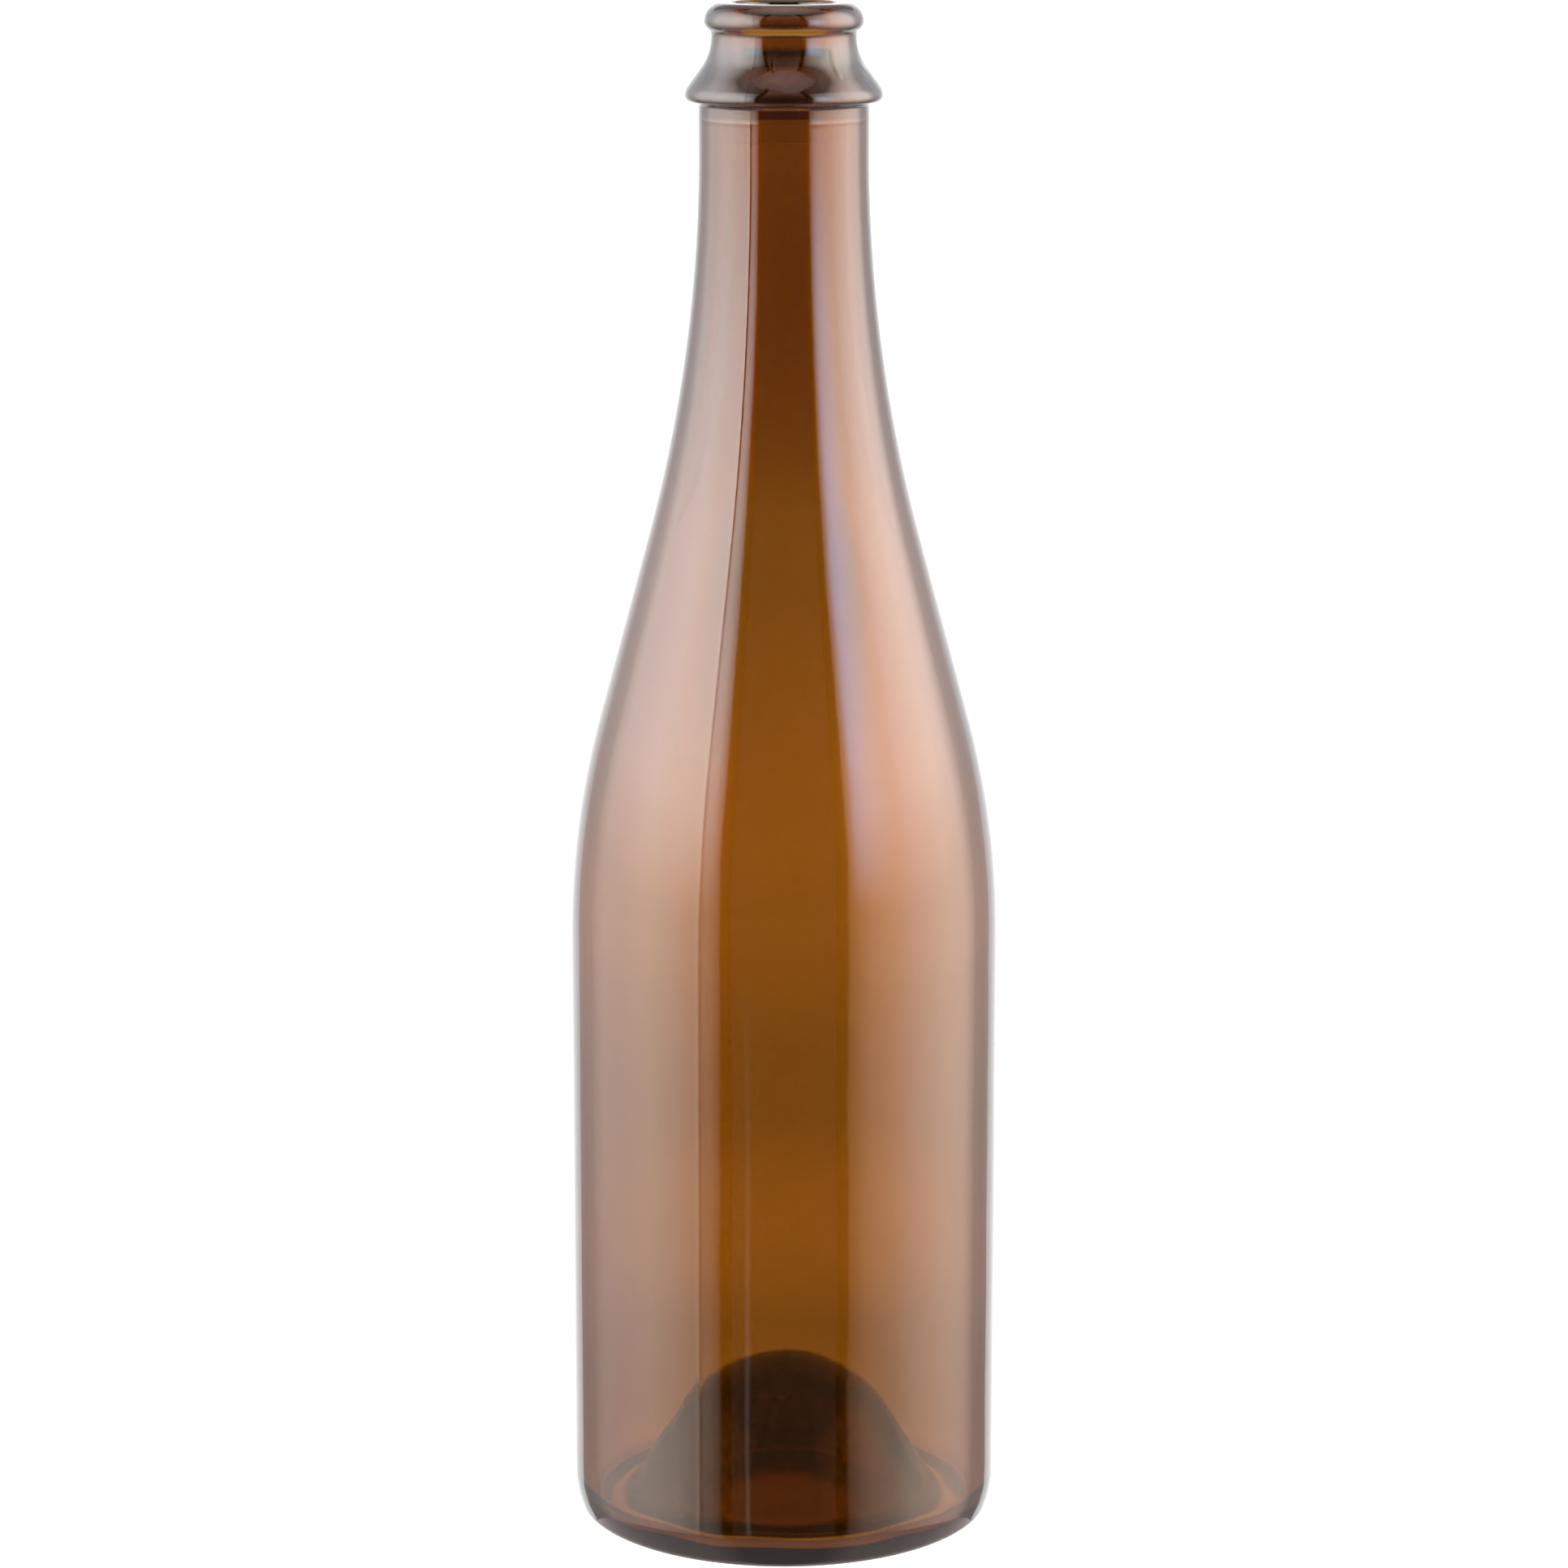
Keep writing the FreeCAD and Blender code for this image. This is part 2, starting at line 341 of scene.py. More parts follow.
def outer_relief(height, azimuth):
    """How far the outer surface stands proud of its outline, in metres."""
    relief = OUTER_WAVE * wave_at(height, azimuth, 1.3, 45.0 * MM)
    wide, tight = heel_centres()
    if height > tight[1]:
        ridge = FINISH_SEAM_HEIGHT if height > HEIGHT - NECK_JOINT_DEPTH else SEAM_HEIGHT
        relief += ridge * seam_ridge(azimuth)
    relief += NECK_JOINT_HEIGHT * bump_at(height - (HEIGHT - NECK_JOINT_DEPTH), NECK_JOINT_WIDTH)
    relief += HEEL_JOINT_HEIGHT * bump_at(height - wide[1], HEEL_JOINT_WIDTH)
    return relief


def inner_relief(height, azimuth):
    """How far the inner wall stands into the bottle, in metres: it never touched a mould."""
    broad = wave_at(height, azimuth, 0.9, 70.0 * MM)
    fine = wave_at(height, azimuth, 2.6, 30.0 * MM, 9.0)
    return INNER_WAVE * (broad + 0.35 * fine)


def push_up_relief(radius, azimuth):
    """How far the glass stands up over the push-up, which cooled a little out of true, in metres."""
    angle = math.radians(azimuth)
    out = radius / PUSH_UP_WAVE_LENGTH
    place = Vector((out * math.cos(angle), out * math.sin(angle), 4.2))
    relief = PUSH_UP_WAVE * noise.noise(place) * min(1.0, 2.0 * out)
    for middle, width, lift in PUSH_UP_LUMPS:
        relief += lift * bump_at(radius - middle, width) * bump_at(azimuth - LUMPS_AZIMUTH, LUMPS_SPREAD)
    return relief


def ring_azimuths():
    """The azimuth of each column in degrees: even round the bottle, with more beside the parting lines."""
    azimuths = {round(360.0 * column / COLUMNS, 4) for column in range(COLUMNS)}
    for side in (0.0, 180.0):
        middle = (SEAM_AZIMUTH + side) % 360.0
        azimuths = {a for a in azimuths if abs(a - middle) > SEAM_COLUMNS[-1] + 0.3}
        azimuths.add(round(middle, 4))
        for offset in SEAM_COLUMNS:
            azimuths.add(round(middle + offset, 4))
            azimuths.add(round(middle - offset, 4))
    return sorted(azimuths)


# ---------------------------------------------------------------- the bottle's mesh


def add_ring(mesh, azimuths, radius, height, reliefs, lifts):
    """One ring of vertices, each moved out by its relief and up by its lift."""
    ring = []
    for azimuth, relief, lift in zip(azimuths, reliefs, lifts):
        angle = math.radians(azimuth)
        out = radius + relief
        ring.append(mesh.verts.new((out * math.cos(angle), out * math.sin(angle), height + lift)))
    return ring


def outer_rings(mesh, azimuths, outline):
    """The rings of the outer surface: the land is knurled, and the underside is plain."""
    rings = []
    for radius, height in outline:
        on_land = height < SMALLEST_GAP
        under = height < PUSH_UP_HEIGHT and radius < BODY_RADIUS - HEEL_WIDE_ARC / 3.0
        plain = on_land or under
        reliefs = [0.0 if plain else outer_relief(height, azimuth) for azimuth in azimuths]
        lifts = [KNURL_DEPTH if on_land and column % 2 else 0.0 for column in range(len(azimuths))]
        rings.append(add_ring(mesh, azimuths, radius, height, reliefs, lifts))
    return rings


def inner_rings(mesh, azimuths, outline):
    """The rings of the inner surface: the push-up is uneven, the wall waves, and the bore is plain."""
    rings = []
    for radius, height in outline:
        in_bore = radius < BORE_RADIUS + MOUTH_ROUNDING and height > HEIGHT - BORE_LENGTH - THROAT_LENGTH
        on_push_up = height < PUSH_UP_HEIGHT and radius < BODY_RADIUS - BODY_WALL - SMALLEST_GAP
        reliefs = [0.0 if in_bore else -inner_relief(height, azimuth) for azimuth in azimuths]
        lifts = [push_up_relief(radius, azimuth) if on_push_up else 0.0 for azimuth in azimuths]
        rings.append(add_ring(mesh, azimuths, radius, height, reliefs, lifts))
    return rings


def bridge(mesh, upper, lower):
    """Faces between two rings, turned to face out of the glass."""
    count = len(upper)
    for column in range(count):
        following = (column + 1) % count
        mesh.faces.new((upper[column], lower[column], lower[following], upper[following]))


def cap(mesh, ring, centre, flip):
    """A fan of faces from a ring to a point on the axis."""
    tip = mesh.verts.new(centre)
    count = len(ring)
    for column in range(count):
        corners = [ring[column], tip, ring[(column + 1) % count]]
        mesh.faces.new(corners[::-1] if flip else corners)


def seed_bubble(mesh, radius, height, azimuth, size):
    """A tiny bubble of air in the glass, drawn out upwards, with its faces turned into the air."""
    angle = math.radians(azimuth)
    centre = Vector((radius * math.cos(angle), radius * math.sin(angle), height))
    made = bmesh.ops.create_icosphere(mesh, subdivisions=2, radius=size)
    for vertex in made["verts"]:
        vertex.co = Vector((vertex.co.x, vertex.co.y, vertex.co.z * SEED_STRETCH)) + centre
    faces = {face for vertex in made["verts"] for face in vertex.link_faces}
    bmesh.ops.reverse_faces(mesh, faces=list(faces))


def add_seeds(mesh):
    """The seeds: a few where they are plain to see, and the rest at random in the body's wall."""
    wall_middle = BODY_RADIUS - BODY_WALL / 2.0
    for height, azimuth, size in PLAIN_SEEDS:
        seed_bubble(mesh, wall_middle, height, azimuth, size)
    source = random.Random(RANDOM_SEED)
    for _ in range(SEED_COUNT):
        radius = wall_middle + source.uniform(-0.8, 0.8) * MM
        height = source.uniform(20.0, 100.0) * MM
        azimuth = source.uniform(0.0, 360.0)
        seed_bubble(mesh, radius, height, azimuth, source.uniform(0.06, 0.16) * MM)


def bottle():
    """The glass as one closed mesh."""
    azimuths = ring_azimuths()
    outside = joined(finish_outside() + [neck_joint()] + shoulder_outside() + base_outside())
    inside = joined(base_inside() + neck_inside())
    mesh = bmesh.new()
    outer = outer_rings(mesh, azimuths, outside[:-1])
    inner = inner_rings(mesh, azimuths, inside[1:])
    for upper, lower in zip(outer, outer[1:]):
        bridge(mesh, upper, lower)
    cap(mesh, outer[-1], (0.0, 0.0, outside[-1][1]), False)
    for lower, upper in zip(inner, inner[1:]):
        bridge(mesh, lower, upper)
    cap(mesh, inner[0], (0.0, 0.0, inside[0][1]), True)
    bridge(mesh, inner[-1], outer[0])
    bmesh.ops.recalc_face_normals(mesh, faces=mesh.faces)
    add_seeds(mesh)
    for face in mesh.faces:
        face.smooth = True
    data = bpy.data.meshes.new("glass_bottle")
    mesh.to_mesh(data)
    mesh.free()
    piece = bpy.data.objects.new("glass_bottle", data)
    bpy.context.scene.collection.objects.link(piece)
    return piece


# ---------------------------------------------------------------- materials


def new_material(name):
    """A material with an empty node tree but for its output."""
    material = bpy.data.materials.new(name)
    material.use_nodes = True
    tree = material.node_tree
    tree.nodes.clear()
    output = tree.nodes.new("ShaderNodeOutputMaterial")
    return material, tree, output


def noise_node(tree, coordinates, stretch, scale, detail):
    """A noise texture on the object's own coordinates, stretched along each axis."""
    mapping = tree.nodes.new("ShaderNodeMapping")
    mapping.inputs["Scale"].default_value = stretch
    texture = tree.nodes.new("ShaderNodeTexNoise")
    texture.inputs["Scale"].default_value = scale
    texture.inputs["Detail"].default_value = detail
    tree.links.new(coordinates, mapping.inputs["Vector"])
    tree.links.new(mapping.outputs["Vector"], texture.inputs["Vector"])
    return texture.outputs["Fac"]


def ranged(tree, value, low, high, to_low, to_high):
    """A value carried from one range to another."""
    node = tree.nodes.new("ShaderNodeMapRange")
    node.inputs["From Min"].default_value = low
    node.inputs["From Max"].default_value = high
    node.inputs["To Min"].default_value = to_low
    node.inputs["To Max"].default_value = to_high
    tree.links.new(value, node.inputs["Value"])
    return node.outputs["Result"]


def product_of(tree, first, second):
    """Two values multiplied together."""
    node = tree.nodes.new("ShaderNodeMath")
    node.operation = "MULTIPLY"
    tree.links.new(first, node.inputs[0])
    tree.links.new(second, node.inputs[1])
    return node.outputs["Value"]


def bump_node(tree, height, strength, distance, below=None):
    """A bump laid over the one below it, where there is one."""
    node = tree.nodes.new("ShaderNodeBump")
    node.inputs["Strength"].default_value = strength
    node.inputs["Distance"].default_value = distance
    tree.links.new(height, node.inputs["Height"])
    if below is not None:
        tree.links.new(below, node.inputs["Normal"])
    return node.outputs["Normal"]


def amber_glass():
    """Clear amber-brown glass, coloured by its depth, with drag lines, cold marks and handling haze."""
    material, tree, output = new_material("amber_glass")
    shader = tree.nodes.new("ShaderNodeBsdfPrincipled")
    shader.inputs["Base Color"].default_value = (1.0, 1.0, 1.0, 1.0)
    shader.inputs["Transmission Weight"].default_value = 1.0
    shader.inputs["IOR"].default_value = 1.52
    shader.inputs["Roughness"].default_value = 0.0
    place = tree.nodes.new("ShaderNodeTexCoord").outputs["Object"]

    haze = noise_node(tree, place, (1.0, 1.0, 1.0), 45.0, 3.0)
    tree.links.new(ranged(tree, haze, 0.4, 0.75, 0.0, 0.035), shader.inputs["Roughness"])

    drag = noise_node(tree, place, (1.0, 1.0, 0.035), 420.0, 2.0)
    swell = noise_node(tree, place, (1.0, 1.0, 0.6), 70.0, 1.0)
    streaks = noise_node(tree, place, (1.0, 1.0, 0.06), 260.0, 1.0)
    split = tree.nodes.new("ShaderNodeSeparateXYZ")
    tree.links.new(place, split.inputs["Vector"])
    rising = ranged(tree, split.outputs["Z"], HEIGHT - 14.0 * MM, HEIGHT - 11.0 * MM, 0.0, 1.0)
    falling = ranged(tree, split.outputs["Z"], HEIGHT - 8.0 * MM, HEIGHT - 6.0 * MM, 1.0, 0.0)
    on_skirt = product_of(tree, rising, falling)
    marks = product_of(tree, ranged(tree, streaks, 0.58, 0.68, 0.0, 1.0), on_skirt)
    fine = bump_node(tree, drag, 0.25, 0.03 * MM)
    broad = bump_node(tree, swell, 0.4, 0.2 * MM, fine)
    cold = bump_node(tree, marks, 0.8, 0.08 * MM, broad)
    tree.links.new(cold, shader.inputs["Normal"])

    depth = tree.nodes.new("ShaderNodeVolumeAbsorption")
    depth.inputs["Color"].default_value = (0.671, 0.490, 0.0, 1.0)
    depth.inputs["Density"].default_value = 1045.0
    tree.links.new(depth.outputs["Volume"], output.inputs["Volume"])
    tree.links.new(shader.outputs["BSDF"], output.inputs["Surface"])
    return material


# ---------------------------------------------------------------- the studio

PANEL_DISTANCE = 1.6
PANEL_LOW = -0.9
PANEL_HIGH = 3.0
PANEL_START = 28.0
PANEL_END = 145.0
PANEL_STRENGTH = 10.0
BACKDROP_TOP = 0.9
FLOOR_RADIUS = 3.0
FLOOR_SINK = 0.02 * MM
# The pad is a dark disc of painted shade under the bottle, glowing in its middle and round its rim
PAD_RADIUS = 33.0 * MM
PAD_SINK = 0.01 * MM
WORLD_STRENGTH = 1.55

# The sheer strips stand a little nearer than the panels
STRIP_STEP = 0.02
COOL_START = 34.0
COOL_END = 66.0
COOL_LOW = 0.0
COOL_HIGH = 1.7
COOL_LEFT_STRENGTH = 3.2
COOL_RIGHT_STRENGTH = 7.0
WARM_END = 84.0
WARM_LOW = -0.5
WARM_HIGH = 0.7
THIN_START = 17.5
THIN_END = 21.5
THIN_HIGH = -0.25
THIN_STRENGTH = 0.6

# How each side panel brightens and warms, from its edge beside the camera to its edge behind the bottle
LEFT_ACROSS = (
    (0.00, (0.02, 0.01, 0.00)),
    (0.050, (0.04, 0.03, 0.01)),
    (0.060, (0.24, 0.20, 0.15)),
    (0.162, (0.69, 0.61, 0.52)),
    (0.273, (1.08, 0.95, 0.81)),
    (0.393, (1.27, 1.09, 0.92)),
    (0.474, (1.24, 1.05, 0.92)),
    (0.587, (1.04, 0.87, 0.77)),
    (0.733, (0.76, 0.65, 0.58)),
    (0.835, (0.42, 0.36, 0.32)),
    (0.92, (0.28, 0.24, 0.22)),
    (1.00, (0.22, 0.20, 0.19)),
)
RIGHT_ACROSS = (
    (0.00, (0.02, 0.01, 0.00)),
    (0.050, (0.04, 0.02, 0.01)),
    (0.060, (0.30, 0.17, 0.10)),
    (0.162, (0.61, 0.45, 0.34)),
    (0.273, (0.74, 0.63, 0.49)),
    (0.393, (1.17, 0.97, 0.77)),
    (0.474, (1.43, 1.05, 0.82)),
    (0.587, (1.40, 1.07, 0.87)),
    (0.722, (1.03, 0.82, 0.69)),
    (0.835, (0.40, 0.34, 0.30)),
    (0.92, (0.27, 0.23, 0.21)),
    (1.00, (0.22, 0.20, 0.19)),
)

# How the side panels brighten, from their foot to their head
PANEL_UP = (
    (0.00, (0.23, 0.22, 0.23)),
    (0.087, (0.30, 0.31, 0.32)),
    (0.103, (0.315, 0.325, 0.335)),
    (0.133, (0.42, 0.43, 0.43)),
    (0.167, (0.52, 0.52, 0.52)),
    (0.22, (0.56, 0.57, 0.58)),
    (0.267, (0.65, 0.68, 0.72)),
    (0.32, (0.76, 0.82, 0.90)),
    (0.40, (0.80, 0.88, 1.00)),
    (0.507, (0.75, 0.82, 0.92)),
    (0.62, (0.62, 0.66, 0.72)),
    (0.72, (0.40, 0.40, 0.42)),
    (0.82, (0.12, 0.11, 0.11)),
    (1.00, (0.10, 0.10, 0.10)),
)

# How the lit table glows, from under the bottle to its edge, over the floor's radius
GLOW_OUT = (
    (0.0, 1.50),
    (0.0125, 1.50),
    (0.017, 1.00),
    (0.023, 0.75),
    (0.035, 0.40),
    (0.050, 1.00),
    (0.065, 1.00),
    (0.085, 0.35),
    (0.105, 0.35),
    (0.140, 0.85),
    (0.180, 1.10),
    (0.240, 1.00),
    (0.330, 0.50),
    (1.0, 0.55),
)

# How the pad glows, from its middle to its edge; where it doesn't glow, its dark paint is painted shade
# under the bottle
PAD_GLOW = ((0.0, 1.5), (0.3, 1.3), (0.45, 0.2), (0.8, 0.0), (0.88, 1.9), (1.0, 1.9))

# The blue that each cool strip adds beside the dim room, from its near edge to its far one, and up it
COOL_LEFT = (
    (0.0, (0.0, 0.0, 0.0)),
    (0.08, (0.10, 0.25, 0.35)),
    (0.2, (0.30, 0.65, 0.85)),
    (0.55, (0.35, 0.75, 0.9)),
    (1.0, (0.0, 0.0, 0.0)),
)
COOL_RIGHT = (
    (0.0, (0.0, 0.0, 0.0)),
    (0.08, (0.02, 0.06, 0.15)),
    (0.2, (0.18, 0.45, 0.9)),
    (0.35, (0.20, 0.50, 1.0)),
    (0.6, (0.15, 0.40, 0.7)),
    (1.0, (0.0, 0.0, 0.0)),
)
COOL_UP = (
    (0.0, 0.0),
    (0.1, 0.35),
    (0.2, 0.6),
    (0.35, 0.78),
    (0.5, 0.9),
    (0.6, 0.3),
    (0.7, 0.0),
    (1.0, 0.0),
)

# The amber that each warm strip adds beside the dim room, from its near edge to its far one, and up it
WARM_LEFT = (
    (0.0, (0.0, 0.0, 0.0)),
    (0.125, (0.16, 0.0, 0.0)),
    (0.34, (0.29, 0.09, 0.0)),
    (0.57, (0.12, 0.0, 0.0)),
    (0.82, (0.0, 0.0, 0.0)),
)
WARM_RIGHT = (
    (0.0, (0.0, 0.0, 0.0)),
    (0.125, (0.10, 0.045, 0.0)),
    (0.34, (0.32, 0.09, 0.0)),
    (0.57, (0.46, 0.12, 0.0)),
    (0.82, (0.23, 0.0, 0.0)),
    (1.0, (0.0, 0.0, 0.0)),
)
WARM_UP = (
    (0.0, 0.0),
    (0.1, 0.42),
    (0.21, 0.52),
    (0.38, 0.56),
    (0.53, 0.65),
    (0.70, 0.78),
    (0.88, 0.80),
    (1.0, 0.0),
)

# The thin strip's light, across and up it
THIN_FADE = ((0.0, 0.0), (0.35, 1.0), (0.65, 1.0), (1.0, 0.0))

# The pit's light round the bottle, from its right: it is dimmest towards the camera
PIT_ROUND = (
    (0.0, (1.5, 1.25, 1.2)),
    (0.62, (1.4, 1.2, 1.15)),
    (0.68, (0.8, 0.65, 0.6)),
    (0.82, (0.8, 0.65, 0.6)),
    (0.88, (1.4, 1.2, 1.15)),
    (1.0, (1.5, 1.25, 1.2)),
)

# The dim room's light from side to side, and how it brightens towards its ceiling
ROOM_ACROSS = (
    (0.0, (0.30, 0.18, 0.12)),
    (0.4, (0.20, 0.12, 0.08)),
    (0.6, (0.20, 0.12, 0.08)),
    (1.0, (0.30, 0.18, 0.12)),
)
ROOM_UP = ((0.0, 1.0), (0.385, 1.0), (0.54, 2.2), (0.74, 4.5), (1.0, 5.0))

# The even light of the wall over the backdrop, the ceiling's colour, and how it dims outwards
OVER_BACKDROP = ((0.0, (0.8, 0.66, 0.6)), (1.0, (0.8, 0.66, 0.6)))
PLASTER = ((0.0, (1.0, 0.8, 0.72)), (1.0, (1.0, 0.8, 0.72)))
CEILING_OUT = ((0.0, 3.0), (0.5, 2.2), (1.0, 1.3))
EVEN = ((0.0, 1.0), (1.0, 1.0))


def sheet(name, columns, rows, place):
    """A sheet of quads whose points come from place(u, v), with u and v from 0 to 1."""
    mesh = bmesh.new()
    uv = mesh.loops.layers.uv.new("sheet")
    points = []
    for r in range(rows + 1):
        points.append([mesh.verts.new(place(c / columns, r / rows)) for c in range(columns + 1)])
    for r in range(rows):
        for c in range(columns):
            corners = ((r, c), (r, c + 1), (r + 1, c + 1), (r + 1, c))
            face = mesh.faces.new([points[i][j] for i, j in corners])
            face.smooth = True
            for loop, (i, j) in zip(face.loops, corners):
                loop[uv].uv = (j / columns, i / rows)
    data = bpy.data.meshes.new(name)
    mesh.to_mesh(data)
    mesh.free()
    made = bpy.data.objects.new(name, data)
    bpy.context.scene.collection.objects.link(made)
    return made


def show_only_in_glass(sheet_object):
    """Hides a sheet from the camera, and keeps its light and shadow off the table."""
    sheet_object.visible_camera = False
    sheet_object.visible_diffuse = False
    sheet_object.visible_shadow = False


def curved_wall(name, start, end, low, high, distance):
    """A curved wall round the bottle, from one angle off the camera's side to another."""

    def place(u, v):
        angle = math.radians(start + (end - start) * u)
        return distance * math.sin(angle), -distance * math.cos(angle), low + (high - low) * v

    wall = sheet(name, 48, 24, place)
    show_only_in_glass(wall)
    return wall


def ramp_node(tree, value, stops):
    """A colour ramp from pairs of a position and a grey or a colour."""
    node = tree.nodes.new("ShaderNodeValToRGB")
    elements = node.color_ramp.elements
    elements.remove(elements[-1])
    for number, (position, colour) in enumerate(stops):
        element = elements[0] if number == 0 else elements.new(position)
        element.position = position
        shade = colour if isinstance(colour, tuple) else (colour, colour, colour)
        element.color = (*shade, 1.0)
    tree.links.new(value, node.inputs["Fac"])
    return node.outputs["Color"]


def across_and_up(tree):
    """A sheet's own two coordinates; on a disc they run round it and outwards."""
    coordinates = tree.nodes.new("ShaderNodeTexCoord")
    split = tree.nodes.new("ShaderNodeSeparateXYZ")
    tree.links.new(coordinates.outputs["UV"], split.inputs["Vector"])
    return split.outputs["X"], split.outputs["Y"]


def glowing(name, strength, across, up, sheer=False):
    """A light panel whose brightness changes across and up it; a sheer one hides nothing behind it."""
    material, tree, output = new_material(name)
    u, v = across_and_up(tree)
    product = tree.nodes.new("ShaderNodeVectorMath")
    product.operation = "MULTIPLY"
    tree.links.new(ramp_node(tree, u, across), product.inputs[0])
    tree.links.new(ramp_node(tree, v, up), product.inputs[1])
    light = tree.nodes.new("ShaderNodeEmission")
    light.inputs["Strength"].default_value = strength
    tree.links.new(product.outputs["Vector"], light.inputs["Color"])
    if sheer:
        clear = tree.nodes.new("ShaderNodeBsdfTransparent")
        both = tree.nodes.new("ShaderNodeAddShader")
        tree.links.new(light.outputs["Emission"], both.inputs[0])
        tree.links.new(clear.outputs["BSDF"], both.inputs[1])
        tree.links.new(both.outputs["Shader"], output.inputs["Surface"])
    else:
        tree.links.new(light.outputs["Emission"], output.inputs["Surface"])
    return material


def side_panels():
    """A tall soft panel on each side, which the glass mirrors as a broad pale veil."""
    for name, side, across in (("left_panel", -1.0, LEFT_ACROSS), ("right_panel", 1.0, RIGHT_ACROSS)):
        wall = curved_wall(name, side * PANEL_START, side * PANEL_END, PANEL_LOW, PANEL_HIGH, PANEL_DISTANCE)
        wall.data.materials.append(glowing(name, PANEL_STRENGTH, across, PANEL_UP))


def cool_strip(name, side, strength, across):
    """A sheer blue strip beside the dim room."""
    distance = PANEL_DISTANCE - STRIP_STEP
    wall = curved_wall(name, side * COOL_START, side * COOL_END, COOL_LOW, COOL_HIGH, distance)
    wall.data.materials.append(glowing(name, strength, across, COOL_UP, True))


def warm_strip(name, side, across):
    """A sheer amber strip beside the dim room."""
    distance = PANEL_DISTANCE - 2.0 * STRIP_STEP
    wall = curved_wall(name, side * PANEL_START, side * WARM_END, WARM_LOW, WARM_HIGH, distance)
    wall.data.materials.append(glowing(name, PANEL_STRENGTH, across, WARM_UP, True))


def thin_strip():
    """A sheer thin strip low on the camera's left."""
    distance = PANEL_DISTANCE - STRIP_STEP
    wall = curved_wall("thin_strip", -THIN_END, -THIN_START, PANEL_LOW, THIN_HIGH, distance)
    wall.data.materials.append(glowing("thin_strip", THIN_STRENGTH, THIN_FADE, THIN_FADE, True))


def strips():
    """All the sheer strips, each of which adds its colour to what stands behind it."""
    cool_strip("cool_left", -1.0, COOL_LEFT_STRENGTH, COOL_LEFT)
    cool_strip("cool_right", 1.0, COOL_RIGHT_STRENGTH, COOL_RIGHT)
    thin_strip()
    warm_strip("warm_left", -1.0, WARM_LEFT)
    warm_strip("warm_right", 1.0, WARM_RIGHT)


def dim_room():
    """The dim room behind the camera."""
    wall = curved_wall("dim_room", -PANEL_START, PANEL_START, PANEL_LOW, PANEL_HIGH, PANEL_DISTANCE)
    wall.data.materials.append(glowing("dim_room", 1.0, ROOM_ACROSS, ROOM_UP))


def over_backdrop():
    """The dim wall over the white backdrop, which the glass mirrors but doesn't show through it."""
    end = 360.0 - PANEL_END
    wall = curved_wall("over_backdrop", PANEL_END, end, BACKDROP_TOP, PANEL_HIGH, PANEL_DISTANCE)
    wall.data.materials.append(glowing("over_backdrop", 1.0, OVER_BACKDROP, EVEN))
    wall.visible_transmission = False


def disc(name, radius, height):
    """A flat round sheet, level, centred on the bottle's axis."""

    def place(u, v):
        return radius * v * math.cos(2.0 * math.pi * u), radius * v * math.sin(2.0 * math.pi * u), height

    return sheet(name, 96, 60, place)


def level_light(name, height, round_it, outward):
    """A level disc of dim light, as wide as the ring of panels."""
    made = disc(name, 1.05 * PANEL_DISTANCE, height)
    made.data.materials.append(glowing(name, 1.0, round_it, outward))
    show_only_in_glass(made)


def ceiling_and_pit():
    """A dim ceiling over the panels and a dim pit under the table, seen only through or in the glass."""
    level_light("ceiling", PANEL_HIGH, PLASTER, CEILING_OUT)
    level_light("pit", PANEL_LOW, PIT_ROUND, EVEN)


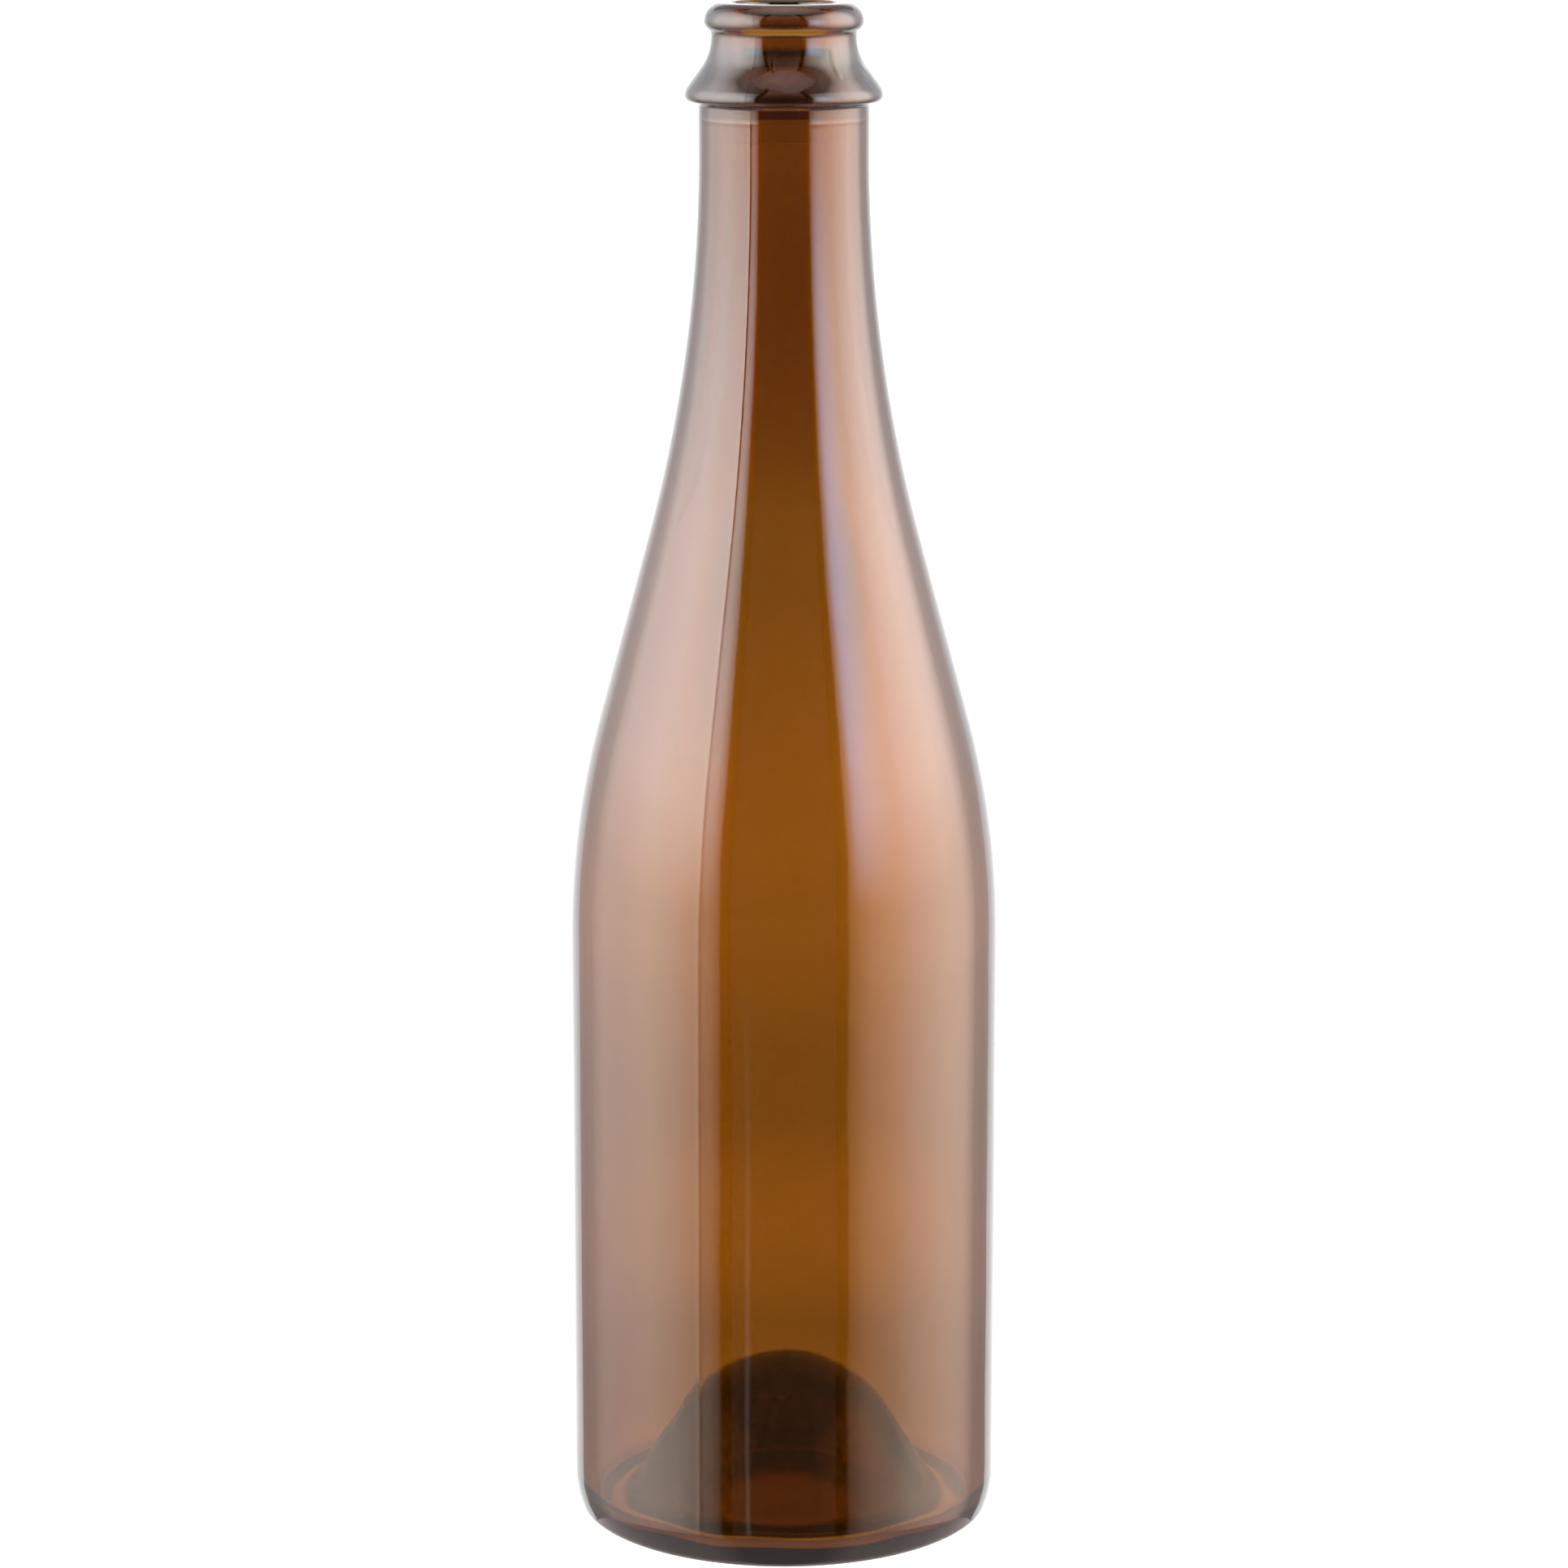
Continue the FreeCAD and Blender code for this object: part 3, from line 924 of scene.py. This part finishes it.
def matt(name, roughness, specular, grain, paint, glow):
    """Matt paint with a faint mottle, lit from below by an amount that changes outwards; on the pad the dark
    paint is painted shade.
    """
    material, tree, output = new_material(name)
    shader = tree.nodes.new("ShaderNodeBsdfPrincipled")
    shader.inputs["Roughness"].default_value = roughness
    shader.inputs["Specular IOR Level"].default_value = specular
    coordinates = tree.nodes.new("ShaderNodeTexCoord")
    mottle = noise_node(tree, coordinates.outputs["Object"], (1.0, 1.0, 1.0), *grain)
    tree.links.new(ramp_node(tree, mottle, paint), shader.inputs["Base Color"])
    outward = across_and_up(tree)[1]
    tree.links.new(ramp_node(tree, outward, glow), shader.inputs["Emission Color"])
    shader.inputs["Emission Strength"].default_value = 1.0
    tree.links.new(shader.outputs["BSDF"], output.inputs["Surface"])
    return material


def pad():
    """A dark pad under the bottle, whose dark paint is painted shade, with light coming up through its
    middle and round its rim.
    """
    made = disc("shade_pad", PAD_RADIUS, -PAD_SINK)
    mottle_grain = (900.0, 3.0)
    # painted shade: the pad's near-black colour stands for the shade under the bottle
    painted_shade = ((0.3, 0.03), (0.7, 0.08))
    made.data.materials.append(matt("shade_pad_paint", 1.0, 0.0, mottle_grain, painted_shade, PAD_GLOW))
    made.visible_glossy = False


def floor():
    """A round white table top under the bottle, lit from below, which the glass doesn't mirror."""
    made = disc("floor", FLOOR_RADIUS, -FLOOR_SINK)
    clouds = (12.0, 4.0)
    white = ((0.3, 0.82), (0.7, 0.86))
    made.data.materials.append(matt("lit_table", 0.9, 0.1, clouds, white, GLOW_OUT))
    made.visible_glossy = False


def world():
    """Even white light from all round."""
    made = bpy.data.worlds.new("studio")
    bpy.context.scene.world = made
    made.use_nodes = True
    background = made.node_tree.nodes["Background"]
    background.inputs["Color"].default_value = (1.0, 1.0, 1.0, 1.0)
    background.inputs["Strength"].default_value = WORLD_STRENGTH


# ---------------------------------------------------------------- the camera

CAMERA_DISTANCE = 0.866
LIP_ELEVATION = 3.044
SENSOR = 36.0
LENS = 118.9
PITCH = 11.632


def camera():
    """A long lens a little above the lip, with the bottle filling the frame from top to bottom."""
    data = bpy.data.cameras.new("camera")
    data.sensor_width = SENSOR
    data.lens = LENS
    view = bpy.data.objects.new("camera", data)
    height = HEIGHT + CAMERA_DISTANCE * math.tan(math.radians(LIP_ELEVATION))
    view.location = (0.0, -CAMERA_DISTANCE, height)
    view.rotation_euler = (math.radians(90.0 - PITCH), 0.0, 0.0)
    bpy.context.scene.collection.objects.link(view)
    bpy.context.scene.camera = view


def main():
    camera()
    piece = bottle()
    piece.data.materials.append(amber_glass())
    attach(piece, "root")
    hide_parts("bottle")
    floor()
    pad()
    ceiling_and_pit()
    side_panels()
    strips()
    dim_room()
    over_backdrop()
    world()
    bpy.context.scene.view_settings.view_transform = "Standard"


main()
